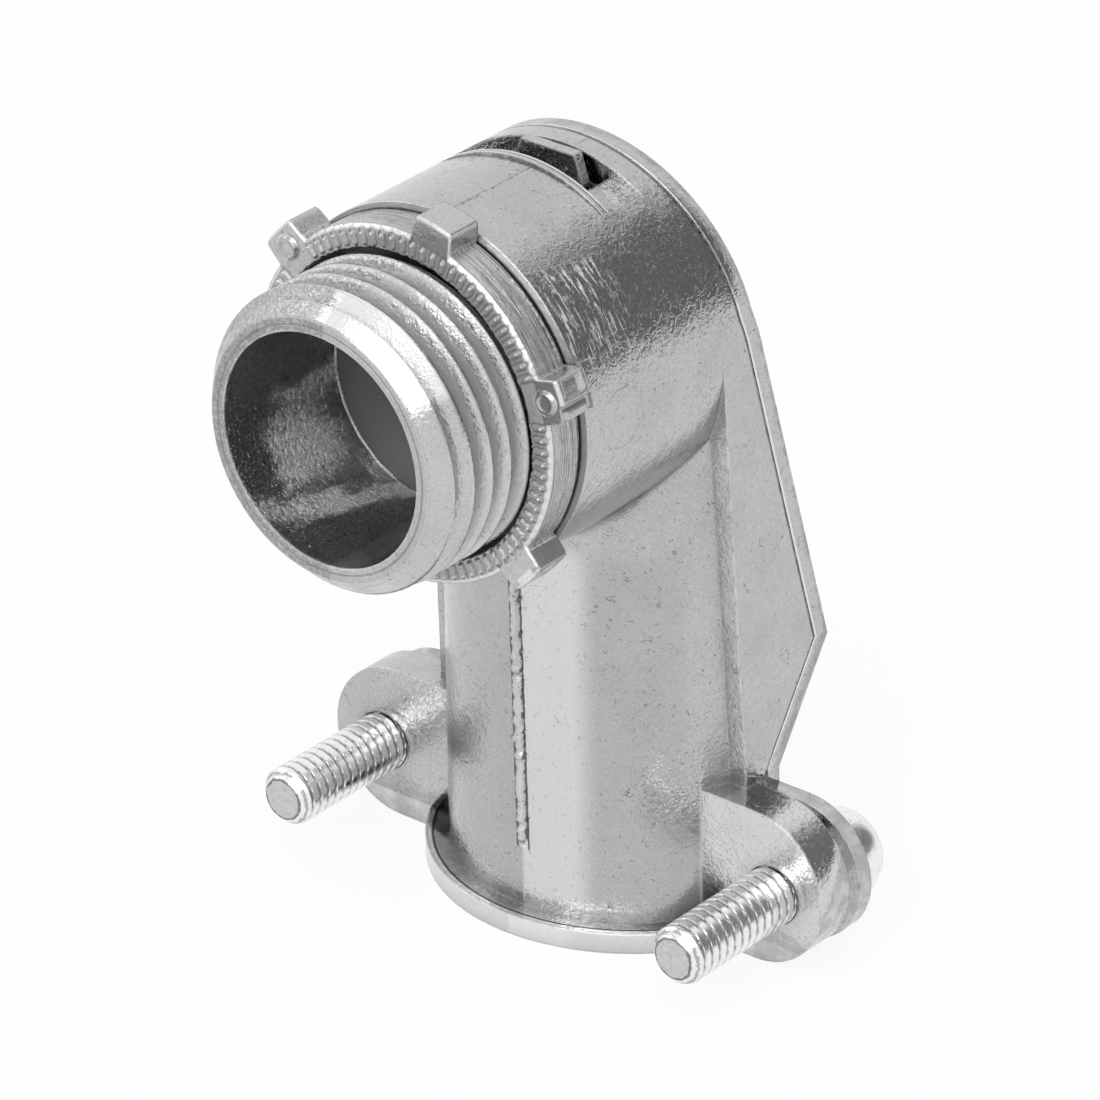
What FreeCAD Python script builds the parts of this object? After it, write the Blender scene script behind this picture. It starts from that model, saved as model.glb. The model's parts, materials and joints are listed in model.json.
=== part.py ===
import FreeCAD, Part
import math
import os

# A right-angle clamp connector for flexible conduit, in zinc die casting, half-inch trade size.
# Millimetres. Z is up along the conduit socket, -Y is the way the threaded nose points, +X is
# the right-hand clamp screw. The origin is the centre of the socket's mouth, on its bottom face.

Vector = FreeCAD.Vector

# Nose and elbow barrel
nose_height = 42.9
nose_tip_y = -31.3
nose_bore_radius = 8.0
nose_bore_length = 10.9
thread_crest_radius = 10.4
thread_depth = 1.15
thread_pitch = 1.814
thread_crest_width = 0.35
nose_chamfer_length = 1.1
nose_face_radius = 9.0
nose_rim_radius = 9.95
barrel_radius = 12.6
barrel_wall = 2.0
shoulder_y = -20.3
shoulder_chamfer = 0.25
neck_length = 1.6

# Conduit socket, the lower half of the casting
socket_radius = 11.3
socket_wall = 1.4
stop_height = 24.0
stop_lip = 0.9
flange_thickness = 1.5
flange_overhang = 1.6

# Side walls, seen from the side as a wedge that widens downwards
wall_top_half_width = 12.6
wall_foot_half_width = 13.2
wall_front_top_y = -6.3
wall_front_foot_y = -4.6

# Rear edge of the casting, where the cover meets it
seam_top_y = -5.5
seam_shoulder_y = -4.3
seam_shoulder_drop = 2.5
heel_y = 2.85
heel_height = 19.4
seam_gap = 0.08
seam_foot_drop = 1.05

# Clamp ears and screws
ear_front_y = -6.56
ear_thickness = 3.06
ear_end_past_screw = 4.13
ear_height = 11.2
ear_lift = 0.0
screw_spacing = 33.74
screw_height = 5.3
screw_major_radius = 2.08
screw_length = 16.0
screw_tip_chamfer = 0.6
screw_head_radius = 3.5
screw_head_height = 3.1
screw_head_rim_share = 0.45
screw_crown_radius = 2.85
screw_thread_clearance = 0.06
screw_seat_gap = 0.02

# Rear cover
cover_thickness = 1.25
clamp_gap = 1.2
cover_ear_height = 10.25
cover_ear_end_past_screw = 4.08
cover_ear_lift = 0.0
open_angle = 9.0
ear_hole_clearance = 0.25
saddle_roof_y = 7.0
saddle_roof_height = 23.0

# Hook at the top of the cover, in a slot across the top of the barrel
slot_front_y = -10.45
slot_back_y = -7.2
slot_half_angle = 32.0
slot_floor_depth = 1.2
slot_bar_width = 0.65
slot_bar_height = 0.2
slot_bar_end_height = 0.03
slot_bar_root = 0.5
hook_back_y = -7.75
hook_thickness = 0.8
hook_top_half_width = 2.2
hook_foot_half_width = 3.2
hook_rise = 0.15
hook_side_clearance = 0.4
tongue_thickness = 1.2
tongue_clearance = 0.3

# Locknut
nut_face_y = -23.26
nut_thickness = 2.8
nut_clearance = 0.1
nut_radius = 12.3
nut_lug_count = 6
nut_lug_radius = 13.9
nut_lug_top_width = 2.7
nut_lug_foot_width = 3.5
nut_lug_root = 0.8
nut_first_lug = 12.0

tube_radius = socket_radius + socket_wall
chamber_radius = barrel_radius - barrel_wall
flange_radius = tube_radius + flange_overhang
ear_back_y = ear_front_y + ear_thickness
cover_ear_front_y = ear_back_y + clamp_gap
cover_ear_back_y = cover_ear_front_y + cover_thickness
seam_foot_height = ear_lift + ear_height - seam_foot_drop
barrel_top = nose_height + barrel_radius
screw_x = screw_spacing / 2.0
far = 60.0
overcut = 1.0


def cylinder_y(radius, start_y, end_y, x=0.0, z=nose_height):
    return Part.makeCylinder(radius, end_y - start_y, Vector(x, start_y, z), Vector(0, 1, 0))


def cylinder_z(radius, bottom, top, y=0.0):
    return Part.makeCylinder(radius, top - bottom, Vector(0, y, bottom), Vector(0, 0, 1))


def block(x0, x1, y0, y1, z0, z1):
    return Part.makeBox(x1 - x0, y1 - y0, z1 - z0, Vector(x0, y0, z0))


def side_prism(outline, half_width):
    """A prism across the part, from its outline in side view as (y, z) points."""
    points = [Vector(-half_width, y, z) for y, z in outline]
    face = Part.Face(Part.makePolygon(points + points[:1]))
    return face.extrude(Vector(2 * half_width, 0, 0))


def front_prism(outline, start_y, end_y):
    """A prism along the nose, from its outline in front view as (x, z) points."""
    points = [Vector(x, start_y, z) for x, z in outline]
    face = Part.Face(Part.makePolygon(points + points[:1]))
    return face.extrude(Vector(0, end_y - start_y, 0))


def mirrored(shape):
    return shape.mirror(Vector(0, 0, 0), Vector(1, 0, 0))


def turned(shape, angle):
    """Turn about the nose axis, clockwise as seen from the front."""
    copy = shape.copy()
    copy.rotate(Vector(0, 0, nose_height), Vector(0, 1, 0), angle)
    return copy


def seam(shift=0.0):
    """Side-view line of the rear edge, top to bottom, moved back square to itself."""
    line = [
        (seam_top_y, barrel_top + overcut),
        (seam_shoulder_y, nose_height + seam_shoulder_drop),
        (heel_y, heel_height),
        (ear_back_y, seam_foot_height),
        (ear_back_y, -overcut),
    ]
    return offset_line(line, shift)


def cover_line(shift=0.0):
    """Side-view line of the cover's inner face, which steps back to leave the gap at the ears."""
    line = seam(seam_gap)
    (upper_y, upper_z), (lower_y, lower_z) = line[2], line[3]
    share = (cover_ear_front_y - lower_y) / (upper_y - lower_y)
    foot_z = lower_z + (upper_z - lower_z) * share
    line = line[:3] + [(cover_ear_front_y, foot_z), (cover_ear_front_y, line[-1][1])]
    return offset_line(line, shift)


def offset_line(line, shift):
    normals = []
    for (y0, z0), (y1, z1) in zip(line, line[1:]):
        length = math.hypot(y1 - y0, z1 - z0)
        normals.append(((z0 - z1) / length, (y1 - y0) / length))
    moved = []
    for i, (y, z) in enumerate(line):
        before = normals[max(i - 1, 0)]
        after = normals[min(i, len(normals) - 1)]
        scale = shift / (1.0 + before[0] * after[0] + before[1] * after[1])
        moved.append((y + (before[0] + after[0]) * scale, z + (before[1] + after[1]) * scale))
    return moved


def behind(line):
    """Everything to the rear of a side-view line."""
    top_z = line[0][1]
    bottom_z = line[-1][1]
    return side_prism(line + [(far, bottom_z), (far, top_z)], far)


def wall_outline(bottom):
    """Front view of the side walls' outer faces, below the nose axis."""
    slope = (wall_foot_half_width - wall_top_half_width) / (nose_height - ear_height)
    low = wall_top_half_width + slope * (nose_height - bottom)
    return [
        (-wall_top_half_width, nose_height),
        (wall_top_half_width, nose_height),
        (low, bottom),
        (-low, bottom),
    ]


def ring_sector(inner, outer, start_y, end_y, half_angle):
    hole = cylinder_y(inner, start_y - overcut, end_y + overcut)
    ring = cylinder_y(outer, start_y, end_y).cut(hole)
    reach = 2.0 * outer
    side = reach * math.sin(math.radians(half_angle))
    top = nose_height + reach * math.cos(math.radians(half_angle))
    wedge = front_prism([(0, nose_height), (side, top), (-side, top)], start_y, end_y)
    return ring.common(wedge)


def revolved_y(profile, x=0.0, z=nose_height):
    """A turned shape along Y, from its half section as (radius, y) points."""
    points = [Vector(x + radius, y, z) for radius, y in profile]
    face = Part.Face(Part.makePolygon(points + points[:1]))
    return face.revolve(Vector(x, 0, z), Vector(0, 1, 0), 360)


def ear(front_y, back_y, end_x, lift, height):
    """One clamp ear on the right: a straight run from the middle, with a half-round end."""
    radius = height / 2.0
    centre_x = end_x - radius
    straight = block(0, centre_x, front_y, back_y, lift, lift + height)
    end = cylinder_y(radius, front_y, back_y, centre_x, lift + radius)
    return straight.fuse(end)


def thread_groove():
    """The helical groove between the nose's thread ridges."""
    root = thread_crest_radius - thread_depth
    start = nose_tip_y - thread_pitch
    length = shoulder_y - neck_length - start
    helix = Part.makeLongHelix(thread_pitch, length, root)
    half = (thread_pitch - thread_crest_width) / 2.0
    outer = thread_crest_radius + overcut
    flare = half * (outer - root) / thread_depth
    corners = [Vector(root, 0, 0), Vector(outer, 0, -flare), Vector(outer, 0, flare)]
    profile = Part.makePolygon(corners + corners[:1])
    sweep = Part.Wire(helix).makePipeShell([profile], True, True)
    sweep.rotate(Vector(0, 0, 0), Vector(1, 0, 0), -90)
    sweep.translate(Vector(0, start, nose_height))
    return sweep


def nose():
    root = thread_crest_radius - thread_depth
    neck_front = shoulder_y - neck_length
    chamfer_end = nose_tip_y + nose_chamfer_length
    crest_slope = thread_crest_radius - nose_rim_radius
    profile = [
        (nose_bore_radius, nose_tip_y),
        (nose_face_radius, nose_tip_y),
        (nose_rim_radius, chamfer_end),
        (thread_crest_radius, chamfer_end + crest_slope),
        (thread_crest_radius, neck_front - thread_depth),
        (root, neck_front),
        (root, shoulder_y + overcut),
        (nose_bore_radius, shoulder_y + overcut),
    ]
    return revolved_y(profile)


def casting_outside():
    barrel = revolved_y([
        (0, shoulder_y),
        (barrel_radius - shoulder_chamfer, shoulder_y),
        (barrel_radius, shoulder_y + shoulder_chamfer),
        (barrel_radius, far),
        (0, far),
    ])
    tube = cylinder_z(tube_radius, 0, nose_height)
    flange = cylinder_z(flange_radius, 0, flange_thickness)
    wall_side = [
        (wall_front_top_y, nose_height),
        (wall_front_foot_y, ear_height),
        (far, ear_height),
        (far, nose_height),
    ]
    walls = side_prism(wall_side, far).common(front_prism(wall_outline(0), -far, far))
    right_ear = ear(ear_front_y, ear_back_y, screw_x + ear_end_past_screw, ear_lift, ear_height)
    solid = barrel.fuse([tube, flange, walls, right_ear, mirrored(right_ear)])
    return solid.cut(behind(seam()))


def way_through():
    """The nose's straight bore, the cone behind it and the round chamber of the elbow."""
    bore_end = nose_tip_y + nose_bore_length
    chamber_front = shoulder_y + barrel_wall
    profile = [
        (0, nose_tip_y - overcut),
        (nose_bore_radius, nose_tip_y - overcut),
        (nose_bore_radius, bore_end),
        (chamber_radius, chamber_front),
        (chamber_radius, far),
        (0, far),
    ]
    return revolved_y(profile)


def socket_space():
    """The conduit's way in: round in front, straight-sided behind, with a stop lip above."""
    narrow = socket_radius - stop_lip
    low = cylinder_z(socket_radius, -overcut, stop_height)
    low_back = block(-socket_radius, socket_radius, 0, far, -overcut, stop_height)
    high = cylinder_z(narrow, stop_height - overcut, nose_height)
    high_back = block(-narrow, narrow, 0, far, stop_height - overcut, nose_height)
    return low.fuse([low_back, high, high_back])


def slot_cut():
    floor_radius = barrel_radius - slot_floor_depth
    pocket = ring_sector(floor_radius, far, slot_front_y, slot_back_y, slot_half_angle)
    half = hook_foot_half_width + hook_side_clearance
    window = block(-half, half, slot_front_y, slot_back_y, nose_height, barrel_top + overcut)
    return pocket.fuse(window)


def slot_bar():
    """The low ridge in front of the slot, highest on top and fading out towards its ends."""
    start_y = slot_front_y - slot_bar_width
    fall = 1.0 - math.cos(math.radians(slot_half_angle))
    rise = (slot_bar_height - slot_bar_end_height) / fall
    radius = barrel_radius + slot_bar_height - rise
    ridge = cylinder_y(radius, start_y, slot_front_y, z=nose_height + rise)
    sector = ring_sector(barrel_radius - slot_bar_root, far, start_y, slot_front_y, slot_half_angle)
    return ridge.common(sector)


def body_casting():
    solid = casting_outside().fuse([slot_bar(), nose()])
    solid = solid.cut(way_through())
    solid = solid.cut(socket_space())
    solid = solid.cut(slot_cut())
    hole_radius = screw_major_radius + screw_thread_clearance
    for x in (-screw_x, screw_x):
        hole = cylinder_y(hole_radius, ear_front_y - overcut, ear_back_y + overcut, x, screw_height)
        solid = solid.cut(hole)
    return solid.removeSplitter().cut(thread_groove())


def tilted_to_open(shape):
    """Lean a shape that is upright with the clamp open to where it stands with it closed."""
    copy = shape.copy()
    copy.rotate(Vector(0, seam_top_y, barrel_top), Vector(1, 0, 0), -open_angle)
    return copy


def cover_plate():
    disc = cylinder_y(barrel_radius, -far / 2, far / 2)
    sides = front_prism(wall_outline(seam_foot_height), -far / 2, far / 2)
    front = behind(cover_line())
    back = behind(cover_line(cover_thickness))
    return disc.fuse(sides).common(front.cut(back))


def saddle(radius, shift):
    """Half-round back of the clamp, closed above by a sloping roof."""
    pipe = tilted_to_open(cylinder_z(radius, -far / 2, far / 2))
    roof_y = saddle_roof_y + shift
    roof_z = saddle_roof_height + shift
    outline = [(-far, -far / 2), (far, -far / 2), (roof_y, roof_z), (roof_y - far, roof_z + far)]
    return pipe.common(side_prism(outline, far))


def cover_ears():
    end_x = screw_x + cover_ear_end_past_screw
    right = ear(cover_ear_front_y, cover_ear_back_y, end_x, cover_ear_lift, cover_ear_height)
    lift_at_open = (barrel_top - screw_height) * (1 - math.cos(math.radians(open_angle)))
    lift_at_open += (cover_ear_back_y - seam_top_y) * math.sin(math.radians(open_angle))
    radius = screw_major_radius + ear_hole_clearance
    low = screw_height - lift_at_open
    slot = cylinder_y(radius, ear_front_y, far / 2, screw_x, screw_height)
    slot = slot.fuse(cylinder_y(radius, ear_front_y, far / 2, screw_x, low))
    slot = slot.fuse(
        block(screw_x - radius, screw_x + radius, ear_front_y, far / 2, low, screw_height)
    )
    right = right.cut(slot)
    return right.fuse(mirrored(right))


def hook():
    """Tongue under the barrel's top wall, with its end turned up through the slot."""
    side_drop = chamber_radius - math.sqrt(chamber_radius ** 2 - hook_foot_half_width ** 2)
    tongue_top = nose_height + chamber_radius - side_drop - tongue_clearance
    tongue_bottom = tongue_top - tongue_thickness
    front_y = hook_back_y - hook_thickness
    tongue = block(
        -hook_foot_half_width, hook_foot_half_width, front_y, seam_top_y + cover_thickness,
        tongue_bottom, tongue_top,
    )
    outline = [
        (-hook_foot_half_width, tongue_bottom),
        (hook_foot_half_width, tongue_bottom),
        (hook_foot_half_width, tongue_top),
        (hook_top_half_width, barrel_top + hook_rise),
        (-hook_top_half_width, barrel_top + hook_rise),
        (-hook_foot_half_width, tongue_top),
    ]
    return tongue.fuse(front_prism(outline, front_y, hook_back_y))


def back_cover():
    outside = saddle(socket_radius + cover_thickness, cover_thickness)
    outside = outside.common(block(-far, far, -far, far, 0, far))
    shell = outside.common(behind(cover_line()))
    solid = cover_plate().fuse([shell, cover_ears()])
    solid = solid.cut(saddle(socket_radius, 0.0))
    return solid.fuse(hook()).removeSplitter()


def locknut():
    back_y = nut_face_y + nut_thickness
    ring = cylinder_y(nut_radius, nut_face_y, back_y)
    foot = nut_lug_foot_width / 2.0
    top = nut_lug_top_width / 2.0
    foot_z = nose_height + nut_radius - nut_lug_root
    top_z = nose_height + nut_lug_radius
    outline = [(-foot, foot_z), (foot, foot_z), (top, top_z), (-top, top_z)]
    lug = front_prism(outline, nut_face_y, back_y)
    step = 360.0 / nut_lug_count
    lugs = [turned(lug, nut_first_lug + i * step) for i in range(nut_lug_count)]
    hole = cylinder_y(thread_crest_radius + nut_clearance, nut_face_y - overcut, back_y + overcut)
    return ring.fuse(lugs).cut(hole).removeSplitter()


def screw(x):
    """Pan-head clamp screw, its head bearing on the cover's ear."""
    seat_y = cover_ear_back_y + screw_seat_gap
    tip_y = seat_y - screw_length
    rim_y = seat_y + screw_head_height * screw_head_rim_share
    crown_y = seat_y + screw_head_height
    profile = [
        (0, tip_y),
        (screw_major_radius - screw_tip_chamfer, tip_y),
        (screw_major_radius, tip_y + screw_tip_chamfer),
        (screw_major_radius, seat_y),
        (screw_head_radius, seat_y),
        (screw_head_radius, rim_y),
        (screw_crown_radius, crown_y),
        (0, crown_y),
    ]
    return revolved_y(profile, x, screw_height)


def write(name, shape):
    shape.exportStep("parts/" + name + ".step")


os.makedirs("parts", exist_ok=True)
write("body_casting", body_casting())
write("back_cover", back_cover())
write("locknut", locknut())
write("screw_left", screw(-screw_x))
write("screw_right", screw(screw_x))
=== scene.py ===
import json
import math

import bpy
from mathutils import Matrix, Vector, noise


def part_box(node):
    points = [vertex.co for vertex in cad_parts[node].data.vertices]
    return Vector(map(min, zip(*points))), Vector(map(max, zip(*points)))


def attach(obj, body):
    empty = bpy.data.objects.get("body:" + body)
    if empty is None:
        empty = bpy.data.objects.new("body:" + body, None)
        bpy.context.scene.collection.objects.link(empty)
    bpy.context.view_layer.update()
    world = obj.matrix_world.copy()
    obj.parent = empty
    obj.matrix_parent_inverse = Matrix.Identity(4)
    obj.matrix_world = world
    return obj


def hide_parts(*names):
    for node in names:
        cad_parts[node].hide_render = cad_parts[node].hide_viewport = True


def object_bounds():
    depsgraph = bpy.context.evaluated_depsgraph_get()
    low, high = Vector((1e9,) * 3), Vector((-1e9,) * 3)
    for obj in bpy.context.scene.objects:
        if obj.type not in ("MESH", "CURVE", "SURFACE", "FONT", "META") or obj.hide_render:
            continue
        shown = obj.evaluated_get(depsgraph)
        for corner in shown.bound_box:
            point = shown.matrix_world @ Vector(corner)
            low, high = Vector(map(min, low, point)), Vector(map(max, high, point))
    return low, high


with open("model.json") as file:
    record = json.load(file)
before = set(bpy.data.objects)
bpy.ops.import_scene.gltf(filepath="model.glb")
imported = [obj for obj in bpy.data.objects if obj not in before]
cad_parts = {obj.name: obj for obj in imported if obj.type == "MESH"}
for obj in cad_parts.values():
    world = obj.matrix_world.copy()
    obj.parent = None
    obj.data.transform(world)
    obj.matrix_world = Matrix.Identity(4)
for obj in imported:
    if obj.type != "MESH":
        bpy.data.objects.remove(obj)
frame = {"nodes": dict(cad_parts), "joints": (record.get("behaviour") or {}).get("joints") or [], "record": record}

# The elbow connector in metres, in the frame's own axes: -Y out of the nose, +Z up the socket.
MM = 0.001
per_radian = 180 / math.pi
cad_low, cad_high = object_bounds()

# Places that the frame gives
joints = {joint["name"]: joint for joint in frame["joints"]}
mounts = {mount["name"]: mount for mount in frame["record"]["mounts"]}
nut_face = joints["locknut_turn"]["pos_m"][1]
nose_height = joints["locknut_turn"]["pos_m"][2]
nose_tip = cad_low[1]
bore_radius = mounts["nose_throat"]["dims"]["r_mm"] * MM
bore_end = mounts["nose_throat"]["dims"]["length_mm"] * MM + nose_tip

# Casting, as in the solids
barrel_radius = 12.6 * MM
tube_radius = 12.7 * MM
shoulder_y = -20.3 * MM
neck_front = -21.9 * MM
flange_top = 1.5 * MM
ear_front_y = -6.56 * MM
parting_band = (0.45 * MM, 0.75 * MM)
tube_flash_foot = 0.784 * MM
tube_flash_lean = -0.02195
seam_points = [(-5.5, 55.5), (-4.3, 45.4), (2.85, 19.4), (-3.5, 10.15)]    # y, z in millimetres
seam_wall = 1.33 * MM
chamber_radius = 10.8 * MM
# Painted shade lines and a painted highlight line on the low ridge in front of the slot
slot_ridge_front = (-11.20 * MM, -11.12 * MM)
slot_ridge_back = (-10.74 * MM, -10.64 * MM)
slot_ridge_highlight = (-10.60 * MM, -10.46 * MM)
slot_ridge_ends = (-0.55, 0.545)    # radians from the top
crease_round = 2.0 * MM
nose_pitch = 1.814 * MM
nose_crest_share = 0.096

# Clamp screws: number 8, 32 threads to the inch
screw_pitch = 0.79375 * MM
screw_thread_depth = 0.44 * MM
screw_major_radius = 2.08 * MM
screw_tip_chamfer = 0.6 * MM
screw_head_height = 3.1 * MM
screw_head_outline = [
    (3.38, 0.0), (3.45, 0.08), (3.44, 0.9), (3.38, 1.5), (3.22, 2.1),
    (3.02, 2.6), (2.84, 2.9), (2.55, 3.06), (2.1, 3.1),
]    # radius and height above the seat, in millimetres
screw_slot_half_length = 4.0 * MM
screw_slot_width = 1.1 * MM
screw_slot_depth = 1.2 * MM
screw_sharp_angle = math.radians(40)

# Locknut
nut_thickness = 2.9 * MM
nut_hole_radius = 10.5 * MM
nut_mouth_radius = 10.72 * MM
nut_radius = 12.3 * MM
nut_lug_radius = 13.87 * MM
nut_lugs = 6
nut_first_lug = 12.0
lug_top_angle = 5.5
lug_foot_angle = 7.6
pip_every = 120.0
first_pip = 72.0
pip_centre_radius = 12.5 * MM
pip_radius = 0.75 * MM
rib_pitch = pip_every / 29
rib_inner_radius = 11.02 * MM
rib_outer_radius = 11.68 * MM
rib_half_width = 0.17 * MM
rib_field_inner = 10.86 * MM
clear_of_pip = 1.55 * rib_pitch
sunk_mark_angle = 132.0
small_mark_angle = 69.4
notch_angles = (73.0, 79.4)
notch_bar_angle = 76.6

# Looks
edge_samples = 2
bead_points = 7
white = (1.0, 1.0, 1.0, 1.0)
floor_grey = (0.96, 0.96, 0.96, 1.0)
floor_seen_share = 0.90
floor_half_side = 3.0
room_light = 0.6
unlit_side = (0.60, 0.72, 0.30)
unlit_level = 0.21


def link(name, mesh, body, material):
    piece = bpy.data.objects.new(name, mesh)
    bpy.context.scene.collection.objects.link(piece)
    mesh.materials.append(material)
    for polygon in mesh.polygons:
        polygon.use_smooth = True
    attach(piece, body)
    return piece


def mesh_from(name, vertices, faces):
    mesh = bpy.data.meshes.new(name)
    mesh.from_pydata([tuple(v) for v in vertices], [], faces)
    mesh.update()
    return mesh


def grid_faces(rows, columns, closed_rows=False, closed_columns=False):
    """Quads over a grid of vertices that is stored row by row."""
    faces = []
    for i in range(rows if closed_rows else rows - 1):
        for j in range(columns if closed_columns else columns - 1):
            a = i * columns + j
            b = i * columns + (j + 1) % columns
            c = (i + 1) % rows * columns + (j + 1) % columns
            d = (i + 1) % rows * columns + j
            faces.append((a, b, c, d))
    return faces


def smooth_step(value, low, high):
    share = min(1.0, max(0.0, (value - low) / (high - low)))
    return share * share * (3.0 - 2.0 * share)


def grey(level):
    return (level, level, level * 1.005, 1.0)


class Tree:
    """Short hand for building a node tree."""

    def __init__(self, tree):
        self.tree = tree

    def add(self, kind, inputs=None, **settings):
        node = self.tree.nodes.new(kind)
        for key, value in settings.items():
            setattr(node, key, value)
        for key, value in (inputs or {}).items():
            self.feed(node.inputs[key], value)
        return node

    def feed(self, socket, value):
        if isinstance(value, bpy.types.NodeSocket):
            self.tree.links.new(value, socket)
        else:
            socket.default_value = value

    def ramp(self, value, low, high, start=0.0, end=1.0):
        inputs = {
            "Value": value, "From Min": low, "From Max": high, "To Min": start, "To Max": end,
        }
        return self.add("ShaderNodeMapRange", inputs, interpolation_type="SMOOTHSTEP").outputs[0]

    def fall(self, value, low, high):
        """1 below low, fading to 0 at high."""
        return self.ramp(value, low, high, 1.0, 0.0)

    def math(self, operation, *values):
        return self.add("ShaderNodeMath", dict(enumerate(values)), operation=operation).outputs[0]

    def inverse(self, value):
        return self.math("SUBTRACT", 1.0, value)

    def centred(self, value):
        """Noise moved so that it swings about 0."""
        return self.math("SUBTRACT", value, 0.5)

    def product(self, first, *others):
        for other in others:
            first = self.math("MULTIPLY", first, other)
        return first

    def most(self, first, *others):
        for other in others:
            first = self.math("MAXIMUM", first, other)
        return first

    def dot(self, a, b):
        inputs = {0: a, 1: b}
        return self.add("ShaderNodeVectorMath", inputs, operation="DOT_PRODUCT").outputs["Value"]

    def seen(self):
        """1 for what is seen directly, mirrored or through glass; 0 for what only gives light."""
        path = self.add("ShaderNodeLightPath")
        kinds = ("Is Camera Ray", "Is Glossy Ray", "Is Transmission Ray")
        return self.most(*(path.outputs[kind] for kind in kinds))


class Nodes(Tree):
    """Short hand for building one node material."""

    def __init__(self, name):
        self.material = bpy.data.materials.new(name)
        self.material.use_nodes = True
        super().__init__(self.material.node_tree)
        self.shader = self.tree.nodes["Principled BSDF"]
        self.place = self.tree.nodes.new("ShaderNodeTexCoord").outputs["Object"]

    def noise(self, size, detail=3.0, roughness=0.55, distortion=0.0, place=None):
        inputs = {
            "Vector": place or self.place, "Scale": 1.0 / size, "Detail": detail,
            "Roughness": roughness, "Distortion": distortion,
        }
        return self.add("ShaderNodeTexNoise", inputs).outputs[0]

    def wander(self, size, reach):
        """Noise that runs from -reach to reach."""
        return self.math("MULTIPLY_ADD", self.noise(size, 3.0, 0.7), 2 * reach, -reach)

    def bump(self, height, depth, normal):
        inputs = {"Height": height, "Distance": depth, "Strength": 1.0, "Normal": normal}
        return self.add("ShaderNodeBump", inputs).outputs[0]

    def mix(self, share, a, b):
        node = self.add("ShaderNodeMix", data_type="RGBA")
        self.feed(node.inputs["Factor"], share)
        self.feed(node.inputs[6], a)
        self.feed(node.inputs[7], b)
        return node.outputs[2]

    def parts(self):
        return self.add("ShaderNodeSeparateXYZ", {0: self.place}).outputs

    def distance(self, a, b):
        squares = self.math("ADD", self.math("MULTIPLY", a, a), self.math("MULTIPLY", b, b))
        return self.math("SQRT", squares)

    def round_nose(self):
        """Angle about the nose axis, distance from it, and place along it."""
        x, y, z = self.parts()
        up = self.math("SUBTRACT", z, nose_height)
        return self.math("ARCTAN2", x, up), self.distance(x, up), y

    def around(self, angle, y, stretch):
        """Texture place that is drawn out round the nose axis."""
        inputs = {0: self.math("MULTIPLY", angle, stretch), 1: y, 2: 0.0}
        return self.add("ShaderNodeCombineXYZ", inputs).outputs[0]

    def band(self, value, low, high, soft):
        """1 between low and high, fading to 0 over a soft edge."""
        rise = self.ramp(value, low - soft, low)
        fall = self.fall(value, high, high + soft)
        return self.math("MULTIPLY", rise, fall)

    def edges(self, radius, reach):
        """Softened normal, and how far a point is on an outer edge, just off one or in a crevice."""
        soft = self.add("ShaderNodeBevel", {"Radius": radius}, samples=edge_samples).outputs[0]
        agree = self.dot(soft, self.add("ShaderNodeNewGeometry").outputs["Normal"])
        shade = self.add("ShaderNodeAmbientOcclusion", {"Distance": reach}, samples=edge_samples)
        light = shade.outputs["AO"]
        outer = self.ramp(light, 0.55, 0.80)
        worn = self.product(self.fall(agree, 0.84, 0.95), outer)
        beside = self.product(self.ramp(agree, 0.92, 0.96), self.fall(agree, 0.985, 0.999))
        crevice_shade = self.fall(light, 0.15, 0.72)
        return soft, worn, beside, crevice_shade


class Skin:
    """Bright cast metal: orange-peel skin, fine dark specks, outer edges lighter as rubbed metal and painted
    highlight, and painted shade in crevices and just off edges.
    """

    def __init__(self, name, light, dark, gloss, edge_radius, reach):
        self.n = n = Nodes(name)
        clouds = n.ramp(n.noise(4.0 * MM, 3.0, 0.6), 0.38, 0.68)
        curls = n.ramp(n.noise(0.45 * MM, 1.5, 0.5, distortion=2.5), 0.42, 0.58)
        grains = n.ramp(n.noise(0.16 * MM, 2.0, 0.6), 0.35, 0.65)
        share = n.math("ADD", n.product(clouds, 0.18), n.product(curls, 0.24))
        share = n.math("ADD", share, n.product(grains, 0.24))
        pits = n.ramp(n.noise(0.60 * MM, 2.0, 0.65, distortion=2.0), 0.665, 0.695)
        self.normal, self.worn, self.beside, self.crevice_shade = n.edges(edge_radius, reach)
        self.colour = n.mix(share, grey(light), grey(dark))
        self.tint(n.product(pits, 0.55), dark * 0.4)
        self.pits = pits
        self.rough = n.ramp(n.noise(1.4 * MM, 2.0, 0.65), 0.30, 0.72, *gloss)
        self.metal = 1.0

    def peel(self, strength):
        """The cast skin's relief: waves, orange peel and pits."""
        n = self.n
        waves = n.centred(n.noise(2.2 * MM, 2.0, 0.5))
        grain = n.centred(n.noise(0.46 * MM, 2.0, 0.6, distortion=1.3))
        self.bump(n.product(waves, strength), 0.08 * MM)
        self.bump(n.product(grain, strength), 0.046 * MM)
        self.bump(n.product(self.pits, strength, -1.0), 0.05 * MM)

    def bump(self, height, depth):
        self.normal = self.n.bump(height, depth, self.normal)

    def tint(self, share, level):
        self.colour = self.n.mix(share, self.colour, grey(level))

    def finish(self, edge_share, edge_level, crevice_shade_share, crevice_shade_level):
        # Painted shade in crevices and just off edges; outer edges lighter, partly rubbed metal and partly painted
        # highlight
        self.tint(self.n.product(self.crevice_shade, crevice_shade_share), crevice_shade_level)
        self.tint(self.n.product(self.beside, edge_share, 0.5), 0.16)
        self.tint(self.n.product(self.worn, edge_share), edge_level)
        shader = self.n.shader
        self.n.feed(shader.inputs["Base Color"], self.colour)
        self.n.feed(shader.inputs["Roughness"], self.rough)
        self.n.feed(shader.inputs["Metallic"], self.metal)
        self.n.feed(shader.inputs["Normal"], self.normal)
        return self.n.material


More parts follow.
